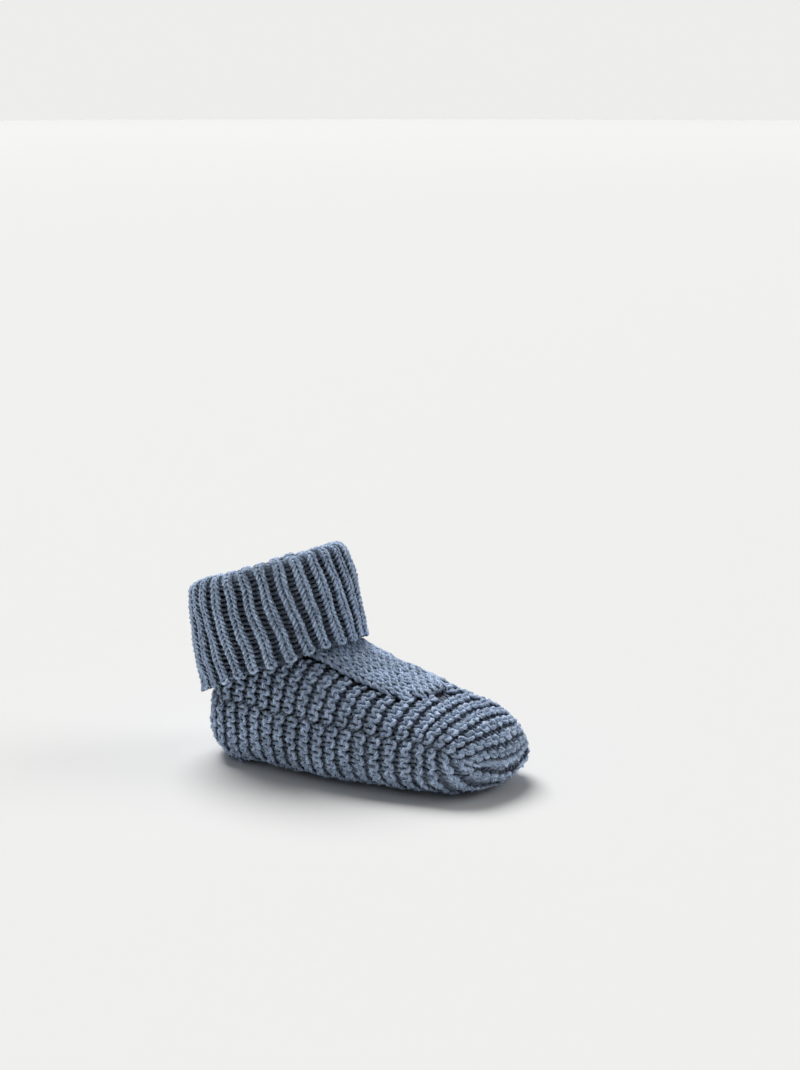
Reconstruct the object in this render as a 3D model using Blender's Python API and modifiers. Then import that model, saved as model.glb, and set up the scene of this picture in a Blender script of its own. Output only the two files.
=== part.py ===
"""Baby bootie knitted in wool: garter-stitch sole and upper, stocking-stitch instep, ribbed leg with a turned-down cuff.

Metres, +Z up, toe towards +X. The origin is under the middle of the bootie, on the surface that it stands on.
"""
import math

import bmesh
import bpy

# Foot. Stations run along +X, from the heel axis to the toe.
HEEL_AXIS = 0.0220              # upright line that the heel courses fan about
HEEL_REACH = 0.0182             # from that line back to the heel
TOE_START = 0.0870              # station where the courses begin to lean over the toe
TOE_REACH = 0.0200              # from there to the tip
LAST_LEAN = math.radians(100)   # lean of the last toe course from upright
TOP = ((0.022, 0.0420), (0.038, 0.0402), (0.050, 0.0362), (0.062, 0.0325), (0.075, 0.0288), (0.087, 0.0258),
       (0.097, 0.0240), (0.107, 0.0230))
HALF_WIDTH = ((0.022, 0.0238), (0.038, 0.0257), (0.055, 0.0270), (0.072, 0.0262), (0.087, 0.0240),
              (0.097, 0.0228), (0.107, 0.0222))
WAIST = ((0.022, 0.0125), (0.055, 0.0120), (0.087, 0.0103), (0.107, 0.0095))    # height of the widest line
JOIN_HEIGHT = ((0.022, 0.0205), (0.055, 0.0195), (0.075, 0.0182), (0.087, 0.0175), (0.095, 0.0158), (0.103, 0.0115))
JOIN_STATION = ((0.0, 0.0870), (0.5, 0.0952), (1.0, 0.1030))       # by share of the toe
ROUND_TOP = 2.15                # superellipse exponents of the cross-section
ROUND_SOLE = ((0.022, 3.2), (0.060, 3.1), (0.087, 2.6))
ROUND_TOE = 2.4                 # and of the toe in plan
FLAT = 1.06                     # how far the lower curve would pass the floor, which makes the flat rest
HEEL_FLAT_SHARE = 0.5           # part of the heel's radius that lies flat

# Instep tongue.
TONGUE_HALF_WIDTH = 0.0125
TONGUE_ROUND_FROM = 0.0680
TONGUE_TIP = 0.0820

# Cuff: outer rings at the hem and at the crest of the fold.
HEM = {"x": 0.0256, "z": 0.0276, "tilt": math.radians(22.5), "long": 0.0273, "wide": 0.0256}
RIM = {"x": 0.0186, "z": 0.0596, "tilt": math.radians(18.5), "long": 0.0258, "wide": 0.0236}
CUFF_HEIGHT = 0.0328
CUFF_SWELL = 0.0011             # how far the cuff's side bulges between the two
ANKLE = 0.13                    # share of the cuff's height at which the leg meets the foot
LEG_FLARE = (0.24, 0.52)        # shares between which the leg takes the cuff's own section
FOLD_MIDDLE = 0.0034            # from the cuff's outer face to the slot between its two layers
FOLD_RISE = 0.0035              # height of the rolled top
SLOT = 0.0005                   # half the slot where the layers meet at the crest

KNIT = 0.0024                   # thickness of the foot's fabric
RIB = 0.0023                    # thickness of the ribbed fabric
SEAM_RADIUS = 0.0007
EDGE_RADIUS = 0.0011            # cast-off edge round the hem
GAP = 0.0003                    # clearance between neighbouring pieces
MARGIN = SEAM_RADIUS + GAP      # from a seam line to a panel's edge
SEAM_CLEAR = 0.00135            # from the middle of a seam yarn to the face of a panel beside it

CENTRE_X = 0.05068              # middle of the whole bootie, in stations
YARN_BLUE = (0.17, 0.24, 0.36, 1.0)
QUARTER = math.pi / 2


def along(table, x):
    """Smooth curve through the points of a table."""
    x = min(max(x, table[0][0]), table[-1][0])
    last = len(table) - 1
    i = 0
    while i < last - 1 and x > table[i + 1][0]:
        i += 1

    def slope(k):
        low, high = table[max(k - 1, 0)], table[min(k + 1, last)]
        return (high[1] - low[1]) / (high[0] - low[0])

    (x0, y0), (x1, y1) = table[i], table[i + 1]
    step = x1 - x0
    u = (x - x0) / step
    value = (1 + 2 * u) * (1 - u) ** 2 * y0 + u * (1 - u) ** 2 * step * slope(i)
    return value + u * u * (3 - 2 * u) * y1 + u * u * (u - 1) * step * slope(i + 1)


def solve(is_inside, low, high):
    """The largest value that is still inside."""
    for _ in range(32):
        middle = (low + high) / 2
        if is_inside(middle):
            low = middle
        else:
            high = middle
    return low


def plan_reach(turn):
    """Half-width of the heel in plan, turn radians round from the side."""
    wide = along(HALF_WIDTH, HEEL_AXIS)
    return 1 / math.hypot(math.sin(turn) / HEEL_REACH, math.cos(turn) / wide)


def fullness(x, r, z, reach):
    """Below 1 inside the foot, 1 on its surface: r is the distance from the middle, reach its largest value there."""
    waist, top = along(WAIST, x), along(TOP, x)
    forward = max(0.0, x - TOE_START) / TOE_REACH
    across = (forward ** ROUND_TOE + (abs(r) / reach) ** ROUND_TOE) ** (1 / ROUND_TOE)
    if z > waist:
        return across ** ROUND_TOP + ((z - waist) / (top - waist)) ** ROUND_TOP
    exponent = along(ROUND_SOLE, x)
    return across ** exponent + ((waist - z) / (waist * FLAT)) ** exponent


def foot_fullness(x, y, z):
    """The same for any point of the foot."""
    if x < HEEL_AXIS:
        return fullness(HEEL_AXIS, math.hypot(HEEL_AXIS - x, y), z, plan_reach(math.atan2(HEEL_AXIS - x, abs(y))))
    return fullness(x, y, z, along(HALF_WIDTH, x))


def course_point(zone, t, a, down):
    """A point of one course: t 0..1 through its zone, a from -90 degrees at the right join to 90 at the left."""
    turn, lean, station = 0.0, 0.0, HEEL_AXIS
    if zone == "heel":
        turn = (1 - t) * QUARTER
    elif zone == "middle":
        station = HEEL_AXIS + (TOE_START - HEEL_AXIS) * t
    else:
        station = along(JOIN_STATION, t)
        lean = LAST_LEAN * t
    if down:
        lean = math.pi - (math.pi - LAST_LEAN) * (t * t if zone == "toe" else 0.0)
    height = along(JOIN_HEIGHT, station)
    side, ahead, rise = math.sin(a), math.cos(a) * math.sin(lean), math.cos(a) * math.cos(lean)

    def reach(x):
        return plan_reach(turn) if zone == "heel" else along(HALF_WIDTH, x)

    def is_inside(d):
        x = station + d * ahead
        return fullness(x, d * side, height + d * rise, reach(x)) < 1

    far = solve(is_inside, 0.0, 0.06)
    r = far * side
    back = abs(r)
    if down and zone == "heel":
        back = max(back, HEEL_FLAT_SHARE * reach(station))
    return (station + far * ahead - back * math.sin(turn), r * math.cos(turn), max(0.0, height + far * rise))


def instep_height(x, y):
    """Height of the foot's upper surface."""
    waist, top = along(WAIST, x), along(TOP, x)
    return waist + (top - waist) * (1 - (abs(y) / along(HALF_WIDTH, x)) ** ROUND_TOP) ** (1 / ROUND_TOP)


def tongue_half_width(x, spread):
    """Half-width of the instep tongue, its outline moved out by spread."""
    half, tip = TONGUE_HALF_WIDTH + spread, TONGUE_TIP + spread
    if x <= TONGUE_ROUND_FROM:
        return half
    return half * math.sqrt(max(0.0, 1 - ((x - TONGUE_ROUND_FROM) / (tip - TONGUE_ROUND_FROM)) ** 2))


def cuff_point(share, angle, inset):
    """A point of the cuff: share of its height, angle from the front, inset from its outer face."""
    mix = {name: HEM[name] + (RIM[name] - HEM[name]) * share for name in HEM}
    swell = CUFF_SWELL * 4 * share * (1 - share)
    long = (mix["long"] + swell - inset) * math.cos(angle)
    wide = (mix["wide"] + swell - inset) * math.sin(angle)
    return (mix["x"] + long * math.cos(mix["tilt"]), wide, mix["z"] + long * math.sin(mix["tilt"]))


def above_ankle(point, spread):
    """Whether a point is over the ankle plane moved up by spread."""
    x, _, z = cuff_point(ANKLE, QUARTER, 0.0)
    tilt = HEM["tilt"] + (RIM["tilt"] - HEM["tilt"]) * ANKLE
    return (point[2] - z) * math.cos(tilt) - (point[0] - x) * math.sin(tilt) > spread


def ankle_point(angle, inset):
    """Where the foot's surface meets the ankle plane."""
    x, _, z = cuff_point(ANKLE, QUARTER, 0.0)
    tilt = HEM["tilt"] + (RIM["tilt"] - HEM["tilt"]) * ANKLE
    ahead, side, rise = math.cos(angle) * math.cos(tilt), math.sin(angle), math.cos(angle) * math.sin(tilt)
    far = solve(lambda d: foot_fullness(x + d * ahead, d * side, z + d * rise) < 1, 0.0, 0.04) - inset
    return (x + far * ahead, far * side, z + far * rise)


def resample(points, count):
    """count points spaced evenly along a polyline."""
    reach = [0.0]
    for p, q in zip(points, points[1:]):
        reach.append(reach[-1] + math.dist(p, q))
    result = []
    for i in range(count):
        goal = reach[-1] * i / (count - 1)
        k = 0
        while k < len(points) - 2 and reach[k + 1] < goal:
            k += 1
        u = (goal - reach[k]) / max(reach[k + 1] - reach[k], 1e-9)
        result.append(tuple(a + (b - a) * u for a, b in zip(points[k], points[k + 1])))
    return result


def distance(point, line):
    """How far a point is from a polyline."""
    nearest = math.inf
    for p, q in zip(line, line[1:]):
        run = [b - a for a, b in zip(p, q)]
        share = sum((c - a) * d for a, c, d in zip(p, point, run)) / sum(d * d for d in run)
        foot = [a + d * min(max(share, 0.0), 1.0) for a, d in zip(p, run)]
        nearest = min(nearest, math.dist(point, foot))
    return nearest


def inward(point, depth):
    """A point moved towards the middle of the foot."""
    middle = (min(max(point[0], HEEL_AXIS), TOE_START), 0.0, 0.016)
    far = math.dist(point, middle)
    return tuple(a + (b - a) * depth / far for a, b in zip(point, middle))


def half_course(zone, t, down, count):
    """The right half of a course, from just clear of the seam round the sole to the middle."""
    def is_covered(a):
        return distance(course_point(zone, t, a, down), sole_seam) < SEAM_CLEAR
    start = solve(is_covered, -QUARTER, -0.2)
    line = [course_point(zone, t, start * (1 - i / count), down) for i in range(count)]
    x, _, z = course_point(zone, t, 0.0, down)
    return line + [(x, 0.0, z)]


def material(name, roughness):
    """Matt wool."""
    wool = bpy.data.materials.new(name)
    wool.use_nodes = True
    shader = wool.node_tree.nodes["Principled BSDF"]
    shader.inputs["Base Color"].default_value = YARN_BLUE
    shader.inputs["Roughness"].default_value = roughness
    shader.inputs["Metallic"].default_value = 0.0
    return wool


def add_object(name, data, roughness=0.95):
    data.materials.append(material(name, roughness))
    piece = bpy.data.objects.new(name, data)
    bootie.objects.link(piece)
    return piece


def panel(name, rows, thickness, mirrored=True, flip=False):
    """A loft through rows of points, as an open surface that Solidify thickens inwards."""
    mesh = bpy.data.meshes.new(name)
    shape = bmesh.new()
    grid = [[shape.verts.new((x - CENTRE_X, y, z)) for x, y, z in row] for row in rows]
    for low, high in zip(grid, grid[1:]):
        for i in range(len(low) - 1):
            corners = (low[i], high[i], high[i + 1], low[i + 1])
            shape.faces.new(corners[::-1] if flip else corners)
    shape.to_mesh(mesh)
    shape.free()
    mesh.shade_smooth()
    piece = add_object(name, mesh)
    if mirrored:
        mirror = piece.modifiers.new("Mirror", "MIRROR")
        mirror.use_axis = (False, True, False)
        mirror.merge_threshold = 0.00005
    solid = piece.modifiers.new("Thickness", "SOLIDIFY")
    solid.thickness = thickness
    solid.offset = -1
    solid.use_even_offset = True
    return piece


def yarn(name, points, radius, closed=False):
    """A round strand through points."""
    curve = bpy.data.curves.new(name, "CURVE")
    curve.dimensions = "3D"
    curve.bevel_depth = radius
    curve.bevel_resolution = 2
    curve.use_fill_caps = not closed
    spline = curve.splines.new("POLY")
    spline.points.add(len(points) - 1)
    for control, (x, y, z) in zip(spline.points, points):
        control.co = (x - CENTRE_X, y, z, 1.0)
    spline.use_cyclic_u = closed
    return add_object(name, curve)


def both_sides(points):
    """A run along the right side, then back along the left."""
    return points + [(x, -y, z) for x, y, z in reversed(points)]


HEEL_STOP = 1 - math.asin(1.15 * MARGIN / HEEL_REACH) / QUARTER
HEEL_ROWS = [("heel", 1 - HEEL_STOP + HEEL_STOP * i / 6) for i in range(6)]
MIDDLE_ROWS = [("middle", i / 12) for i in range(13)]
SOLE_TOE_END = 0.77
UPPER_TOE_END = 0.89


def toe_rows(end, count):
    return [("toe", end * i / count) for i in range(1, count + 1)]


def make_sole():
    stations = HEEL_ROWS + MIDDLE_ROWS + toe_rows(SOLE_TOE_END, 8)
    rows = [resample(half_course(zone, t, True, 40), 12) for zone, t in stations]
    return panel("sole_panel", rows, KNIT, flip=True)


def upper_line(zone, t):
    """The right half of an upper course, from the sole seam to the ankle, the tongue or the middle of the toe."""
    line = half_course(zone, t, False, 60)

    def is_upper(point):
        beside = zone != "middle" or abs(point[1]) > tongue_half_width(point[0], SEAM_CLEAR - 0.0001)
        return beside and not above_ankle(point, -MARGIN)

    for i, point in enumerate(line):
        if not is_upper(point):
            last = line[i - 1]
            share = solve(lambda u: is_upper([a + (b - a) * u for a, b in zip(last, point)]), 0.0, 1.0)
            return line[:i] + [tuple(a + (b - a) * share for a, b in zip(last, point))]
    return line


def make_upper():
    stations = HEEL_ROWS + [("middle", i / 26) for i in range(27)] + toe_rows(UPPER_TOE_END, 9)
    rows = [resample(upper_line(zone, t), 6) for zone, t in stations]
    return panel("upper_panel", rows, KNIT)


def tongue_start(share):
    """Station where the tongue comes out of the ankle seam, share of its half-width from the middle."""
    def is_above(x):
        y = share * (TONGUE_HALF_WIDTH - MARGIN)
        return above_ankle((x, y, instep_height(x, y)), -MARGIN)
    return solve(is_above, 0.030, 0.060)


def make_tongue():
    columns = []
    for i in range(6):
        share = i / 5
        start = tongue_start(share)
        end = TONGUE_TIP - 1.5 * MARGIN
        column = []
        for k in range(11):
            x = start + (end - start) * math.sin(QUARTER * k / 10)
            y = -share * tongue_half_width(x, -MARGIN)
            column.append((x, y, instep_height(x, y)))
        columns.append(column)
    return panel("instep_panel", columns, KNIT)


def ring_angles(inset):
    """Angles round the cuff from one side of the back seam to the other."""
    stop = math.pi - MARGIN / (RIM["wide"] - inset)
    return [-stop + 2 * stop * i / 34 for i in range(35)]


def fold_arc(count):
    """Inset from the slot's middle, and share of the cuff's height, up the rolled top to its crest."""
    points = []
    for i in range(count):
        angle = QUARTER * i / (count - 1)
        drop = FOLD_RISE * (1 - math.sin(angle))
        points.append((SLOT + (FOLD_MIDDLE - SLOT) * math.cos(angle), 1 - drop / CUFF_HEIGHT))
    return points


def leg_point(share, angle, inset):
    """The leg's surface: it grows out of the ankle line into the cuff's own section."""
    blend = min(max((share - LEG_FLARE[0]) / (LEG_FLARE[1] - LEG_FLARE[0]), 0.0), 1.0)
    blend = blend * blend * (3 - 2 * blend)
    low = ankle_point(angle, inset - (2 * FOLD_MIDDLE - RIB))
    x, _, z = cuff_point(ANKLE, QUARTER, 0.0)
    up_x, _, up_z = cuff_point(share, QUARTER, 0.0)
    low = (low[0] + up_x - x, low[1], low[2] + up_z - z)
    high = cuff_point(share, angle, inset)
    return tuple(a + (b - a) * blend for a, b in zip(low, high))


def make_leg():
    start = ANKLE + 1.6 * MARGIN / CUFF_HEIGHT
    arc = fold_arc(7)
    shares = [start] + [LEG_FLARE[0] + (arc[0][1] - LEG_FLARE[0]) * i / 6 for i in range(6)]
    angles = ring_angles(2 * FOLD_MIDDLE)
    rows = [[leg_point(share, angle, 2 * FOLD_MIDDLE) for angle in angles] for share in shares]
    for inset, share in arc:
        rows.append([leg_point(share, angle, FOLD_MIDDLE + inset) for angle in angles])
    return panel("leg_rib", rows, RIB, mirrored=False)


def make_turnover():
    start = (2 * EDGE_RADIUS + 1.4 * GAP) / CUFF_HEIGHT
    arc = fold_arc(7)
    shares = [start + (arc[0][1] - start) * i / 5 for i in range(5)]
    angles = ring_angles(RIB)
    rows = [[cuff_point(share, angle, 0.0) for angle in angles] for share in shares]
    for inset, share in arc:
        rows.append([cuff_point(share, angle, FOLD_MIDDLE - inset) for angle in angles])
    return panel("cuff_turnover", rows, RIB, mirrored=False, flip=True)


def make_cast_off_edge():
    angles = [2 * math.pi * i / 48 for i in range(48)]
    share = EDGE_RADIUS / CUFF_HEIGHT
    ring = [cuff_point(share, angle, EDGE_RADIUS) for angle in angles]
    return yarn("cuff_cast_off_edge", ring, EDGE_RADIUS, closed=True)


def sole_seam_line():
    """Middle of the yarn that joins the sole to the upper, from one side of the heel round the toe to the other."""
    side = [course_point(zone, t, -QUARTER, False) for zone, t in HEEL_ROWS + MIDDLE_ROWS + toe_rows(1.0, 12)]
    front = [course_point("toe", 1.0, -QUARTER * (1 - i / 12), False) for i in range(1, 12)]
    return [inward(point, SEAM_RADIUS) for point in resample(both_sides(side + front), 72)]


def make_heel_seam():
    line = []
    for i in range(60):
        z = 0.0030 + 0.0270 * i / 59
        back = solve(lambda d: fullness(HEEL_AXIS, d, z, HEEL_REACH) < 1, 0.0, 0.03)
        point = (HEEL_AXIS - back, 0.0, z)
        if not above_ankle(point, -MARGIN - SEAM_RADIUS):
            line.append(inward(point, SEAM_RADIUS))
    return yarn("heel_seam_yarn", resample(line, 14), SEAM_RADIUS)


def make_instep_seam():
    start = tongue_start(1.0) + GAP
    side = []
    for i in range(60):
        x = start + (TONGUE_TIP - start) * math.sin(QUARTER * i / 59)
        y = -tongue_half_width(x, 0.0)
        side.append((x, y, instep_height(x, y)))
    line = resample(both_sides(side), 36)
    return yarn("instep_seam_yarn", [(x, y, z - SEAM_RADIUS) for x, y, z in line], SEAM_RADIUS)


def make_ankle_seam():
    ring = [ankle_point(2 * math.pi * i / 40, KNIT / 2) for i in range(40)]
    return yarn("ankle_seam_yarn", ring, SEAM_RADIUS, closed=True)


def make_back_seam(name, start, inset, point_at):
    end = fold_arc(2)[0][1]
    line = [point_at(start + (end - start) * i / 9, math.pi, inset) for i in range(10)]
    return yarn(name, line, SEAM_RADIUS)


for old in list(bpy.data.objects):
    bpy.data.objects.remove(old, do_unlink=True)
bootie = bpy.data.collections.new("baby_bootie")
bpy.context.scene.collection.children.link(bootie)

sole_seam = sole_seam_line()
make_sole()
make_upper()
make_tongue()
make_leg()
make_turnover()
make_cast_off_edge()
yarn("sole_seam_yarn", sole_seam, SEAM_RADIUS)
make_heel_seam()
make_instep_seam()
make_ankle_seam()
make_back_seam("leg_seam_yarn", ANKLE + 2 * MARGIN / CUFF_HEIGHT, 2 * FOLD_MIDDLE - RIB / 2, leg_point)
make_back_seam("cuff_seam_yarn", 2 * (EDGE_RADIUS + GAP) / CUFF_HEIGHT, RIB / 2, cuff_point)
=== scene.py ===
"""Looks of the knitted baby bootie. Each course is a strand of plied yarn, looped like real knitting."""
import math

import bpy
import numpy as np
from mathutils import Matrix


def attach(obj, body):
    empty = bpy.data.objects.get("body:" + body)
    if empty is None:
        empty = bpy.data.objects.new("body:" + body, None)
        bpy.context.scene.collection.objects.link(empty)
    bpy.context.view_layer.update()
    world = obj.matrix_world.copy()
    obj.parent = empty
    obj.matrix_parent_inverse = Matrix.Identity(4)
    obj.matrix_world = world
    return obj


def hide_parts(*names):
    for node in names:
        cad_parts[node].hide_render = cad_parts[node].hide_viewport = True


# The bootie's form, the same as the solids have. Stations run along +X from just behind the heel. A table
# holds a value at each of a few stations.
HEEL_AXIS = 0.0220
HEEL_REACH = 0.0182
TOE_START = 0.0870
TOE_REACH = 0.0200
LAST_LEAN = math.radians(100)
TOP = ((0.022, 0.0420), (0.038, 0.0402), (0.050, 0.0362), (0.062, 0.0325), (0.075, 0.0288), (0.087, 0.0258),
       (0.097, 0.0240), (0.107, 0.0230))
HALF_WIDTH = ((0.022, 0.0238), (0.038, 0.0257), (0.055, 0.0270), (0.072, 0.0262), (0.087, 0.0240),
              (0.097, 0.0228), (0.107, 0.0222))
WAIST = ((0.022, 0.0125), (0.055, 0.0120), (0.087, 0.0103), (0.107, 0.0095))
JOIN_HEIGHT = ((0.022, 0.0205), (0.055, 0.0195), (0.075, 0.0182), (0.087, 0.0175), (0.095, 0.0158),
               (0.103, 0.0115))
JOIN_STATION = ((0.0, 0.0870), (0.5, 0.0952), (1.0, 0.1030))
ROUND_TOP = 2.15
ROUND_SOLE = ((0.022, 3.2), (0.060, 3.1), (0.087, 2.6))
ROUND_TOE = 2.4
FLAT = 1.06
TONGUE_HALF_WIDTH = 0.0125
TONGUE_ROUND_FROM = 0.0680
TONGUE_TIP = 0.0820
HEM = {"x": 0.0256, "z": 0.0276, "tilt": math.radians(22.5), "long": 0.0273, "wide": 0.0256}
RIM = {"x": 0.0186, "z": 0.0596, "tilt": math.radians(18.5), "long": 0.0258, "wide": 0.0236}
CUFF_HEIGHT = 0.0328
CUFF_SWELL = 0.0011
ANKLE = 0.13
LEG_FLARE = (0.24, 0.52)
FOLD_MIDDLE = 0.0034
FOLD_RISE = 0.0035
RIB = 0.0023
TONGUE_GROOVE = 0.0011
TONGUE_GROOVE_REACH = 0.0035
GROOVE_START = 0.0340           # where the groove beside the tongue begins
GROOVE_END = 0.0745             # from here it falls to a quarter
GROOVE_EASE = 0.0060
GROOVE_SHADE = 0.6              # share of a groove's depth that darkens the yarn in it as painted shade
JOIN_GROOVE = 0.0004
JOIN_GROOVE_REACH = 0.0030
CENTRE_X = 0.05068
TO_STATIONS = np.array([CENTRE_X, 0, 0])
QUARTER = math.pi / 2
FOOT_SEARCH = 0.06              # each search ends farther out than the surface can be
ANKLE_SEARCH = 0.04
HEEL_SEARCH = 0.03
SMALL_STEP = 0.0002

# Gauge and yarn.
ROW = 0.00237                   # pitch of the garter rows
WALE = 0.00345                  # width of a garter stitch
RIB_ROW = 0.0016
RIB_WALES = 56
TONGUE_ROW = 0.0028
TONGUE_WALE = 0.00330
YARN = 0.00072                  # radius
PLIES = 3
PLY_HIGH, PLY_LOW = 1.15, 0.90  # shares of the radius on a ply and between two
SIDES = 9
LEG_SIDES = 6                   # fewer where the turned-down cuff covers the rib
STEPS = 16                      # lengths of tube in a stitch
TWIST = 0.0042                  # length of yarn in one turn of its plies
STRAND_END = 0.6                # share of the radius at a strand's ends
SHORTEST = 10                   # fewest points in a strand
FIBRE_START = 5                 # a strand's fibres begin anywhere in this many metres of yarn

# How uneven hand knitting is.
LOOP_VARIES = 0.06
YARN_VARIES = 0.05
SEAM_YARN_VARIES = 0.08
SEAM_PITCH_VARIES = 0.12
WANDER_OUT = 0.00006
WANDER_UP = 0.00008
SWAYS = ((0.00022, 330), (0.00013, 700))
LOWEST = 0.0002                 # least height over the table

random = np.random.default_rng(11)


def along(table, x):
    """Smooth curve through the points of a table."""
    xs, ys = np.array(table).T
    x = np.clip(x, xs[0], xs[-1])
    last = len(xs) - 1
    low, high = np.maximum(np.arange(last + 1) - 1, 0), np.minimum(np.arange(last + 1) + 1, last)
    slope = (ys[high] - ys[low]) / (xs[high] - xs[low])
    i = np.clip(np.searchsorted(xs, x, side="right") - 1, 0, last - 1)
    step = xs[i + 1] - xs[i]
    u = (x - xs[i]) / step
    value = (1 + 2 * u) * (1 - u) ** 2 * ys[i] + u * (1 - u) ** 2 * step * slope[i]
    return value + u * u * (3 - 2 * u) * ys[i + 1] + u * u * (u - 1) * step * slope[i + 1]


def solve(is_inside, low, high):
    """The largest values that are still inside, for arrays."""
    for _ in range(26):
        middle = (low + high) / 2
        inside = is_inside(middle)
        low = np.where(inside, middle, low)
        high = np.where(inside, high, middle)
    return low


def plan_reach(turn):
    wide = along(HALF_WIDTH, HEEL_AXIS)
    return 1 / np.hypot(np.sin(turn) / HEEL_REACH, np.cos(turn) / wide)


def fullness(x, r, z, reach):
    """Below 1 inside the foot, 1 on its surface."""
    waist, top = along(WAIST, x), along(TOP, x)
    forward = np.maximum(0.0, x - TOE_START) / TOE_REACH
    across = (forward ** ROUND_TOE + (np.abs(r) / reach) ** ROUND_TOE) ** (1 / ROUND_TOE)
    above = across ** ROUND_TOP + (np.maximum(z - waist, 0) / (top - waist)) ** ROUND_TOP
    exponent = along(ROUND_SOLE, x)
    below = across ** exponent + (np.maximum(waist - z, 0) / (waist * FLAT)) ** exponent
    return np.where(z > waist, above, below)


def foot_fullness(x, y, z):
    heel = fullness(np.full_like(x, HEEL_AXIS), np.hypot(HEEL_AXIS - x, y), z,
                    plan_reach(np.arctan2(np.maximum(HEEL_AXIS - x, 0), np.abs(y) + 1e-9)))
    return np.where(x < HEEL_AXIS, heel, fullness(x, y, z, along(HALF_WIDTH, x)))


def cuff_point(share, angle, inset):
    mix = {name: HEM[name] + (RIM[name] - HEM[name]) * share for name in HEM}
    swell = CUFF_SWELL * 4 * share * (1 - share)
    long = (mix["long"] + swell - inset) * np.cos(angle)
    wide = (mix["wide"] + swell - inset) * np.sin(angle)
    ahead = mix["x"] + long * np.cos(mix["tilt"])
    rise = mix["z"] + long * np.sin(mix["tilt"])
    return np.stack([ahead, wide + 0 * long, rise], -1)


def ankle_plane():
    x, _, z = cuff_point(ANKLE, QUARTER, 0.0)
    return x, z, HEM["tilt"] + (RIM["tilt"] - HEM["tilt"]) * ANKLE


def above_ankle(points):
    """How far points are over the ankle plane."""
    x, z, tilt = ankle_plane()
    return (points[..., 2] - z) * math.cos(tilt) - (points[..., 0] - x) * math.sin(tilt)


def ankle_point(angle, inset):
    x, z, tilt = ankle_plane()
    ahead, side, rise = np.cos(angle) * math.cos(tilt), np.sin(angle), np.cos(angle) * math.sin(tilt)

    def is_inside(d):
        return foot_fullness(x + d * ahead, d * side, z + d * rise) < 1

    far = solve(is_inside, 0 * angle, 0 * angle + ANKLE_SEARCH) - inset
    return np.stack([x + far * ahead, far * side, z + far * rise], -1)


def leg_point(share, angle, inset):
    blend = np.clip((share - LEG_FLARE[0]) / (LEG_FLARE[1] - LEG_FLARE[0]), 0.0, 1.0)
    blend = (blend * blend * (3 - 2 * blend))[..., None]
    x, z, _ = ankle_plane()
    up = cuff_point(share, QUARTER, 0.0)
    low = ankle_point(angle, inset - (2 * FOLD_MIDDLE - RIB))
    low = low + np.stack([up[..., 0] - x, 0 * up[..., 0], up[..., 2] - z], -1)
    return low + (cuff_point(share, angle, inset) - low) * blend


def fade(value, reach):
    """1 at zero and below, falling smoothly to 0 at reach."""
    t = np.clip(value / reach, 0, 1)
    return 1 - t * t * (3 - 2 * t)


def sunk(points):
    """How deep the foot's surface is drawn in along the sole's join and round the tongue."""
    x, y, z = points[..., 0] + CENTRE_X, np.abs(points[..., 1]), points[..., 2]
    ahead = np.maximum(0, x - TONGUE_ROUND_FROM) / (TONGUE_TIP - TONGUE_ROUND_FROM)
    from_tongue = (np.hypot(ahead, y / TONGUE_HALF_WIDTH) - 1) * TONGUE_HALF_WIDTH
    beside = (1 - fade(x - GROOVE_START, GROOVE_EASE)) * (0.25 + 0.75 * fade(x - GROOVE_END, GROOVE_EASE))
    round_tongue = TONGUE_GROOVE * fade(from_tongue, TONGUE_GROOVE_REACH) * beside
    return round_tongue + JOIN_GROOVE * fade(np.abs(z - along(JOIN_HEIGHT, x)), JOIN_GROOVE_REACH)


def outward(points):
    """Unit normals of the foot's surface at points."""
    slope = np.empty(points.shape)
    for axis in range(3):
        step = np.zeros(3)
        step[axis] = SMALL_STEP
        ahead = foot_fullness(*np.moveaxis(points + step, -1, 0))
        behind = foot_fullness(*np.moveaxis(points - step, -1, 0))
        slope[..., axis] = ahead - behind
    return slope / np.linalg.norm(slope, axis=-1, keepdims=True)


class Patch:
    """A surface with v counted in rows and f from 0 to 1 along a row, and its outward normal."""

    def __init__(self, first, per_row, points, closed=False, flip=False):
        """points[k, m] is at row position first + k / per_row, and m counts evenly along the row."""
        self.first, self.per_row, self.closed = first, per_row, closed
        self.grooved = False
        self.points = points
        along_v = np.gradient(points, axis=0)
        if closed:
            wrapped = np.concatenate([points[:, -2:-1], points, points[:, 1:2]], axis=1)
            along_f = (wrapped[:, 2:] - wrapped[:, :-2]) / 2
        else:
            along_f = np.gradient(points, axis=1)
        normal = np.cross(along_f, along_v)
        normal /= np.linalg.norm(normal, axis=-1, keepdims=True) + 1e-12
        self.normals = normal if flip else -normal
        steps = np.linalg.norm(np.diff(points, axis=1), axis=-1)
        self.lengths = steps.sum(1)

    def weights(self, v, f):
        rows, columns = self.points.shape[:2]
        y = np.clip((v - self.first) * self.per_row, 0, rows - 1.000001)
        x = (f % 1.0 if self.closed else np.clip(f, 0, 1)) * (columns - 1)
        x = np.minimum(x, columns - 1.000001)
        j, i = y.astype(int), x.astype(int)
        return j, i, (y - j)[..., None], (x - i)[..., None]

    def at(self, v, f):
        j, i, dy, dx = self.weights(v, f)
        result = []
        for grid in (self.points, self.normals):
            low = grid[j, i] * (1 - dx) + grid[j, i + 1] * dx
            high = grid[j + 1, i] * (1 - dx) + grid[j + 1, i + 1] * dx
            result.append(low * (1 - dy) + high * dy)
        result[1] /= np.linalg.norm(result[1], axis=-1, keepdims=True) + 1e-12
        return result

    def length(self, v):
        y = np.clip((v - self.first) * self.per_row, 0, len(self.lengths) - 1.000001)
        j = y.astype(int)
        return self.lengths[j] * (1 - (y - j)) + self.lengths[j + 1] * (y - j)


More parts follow.
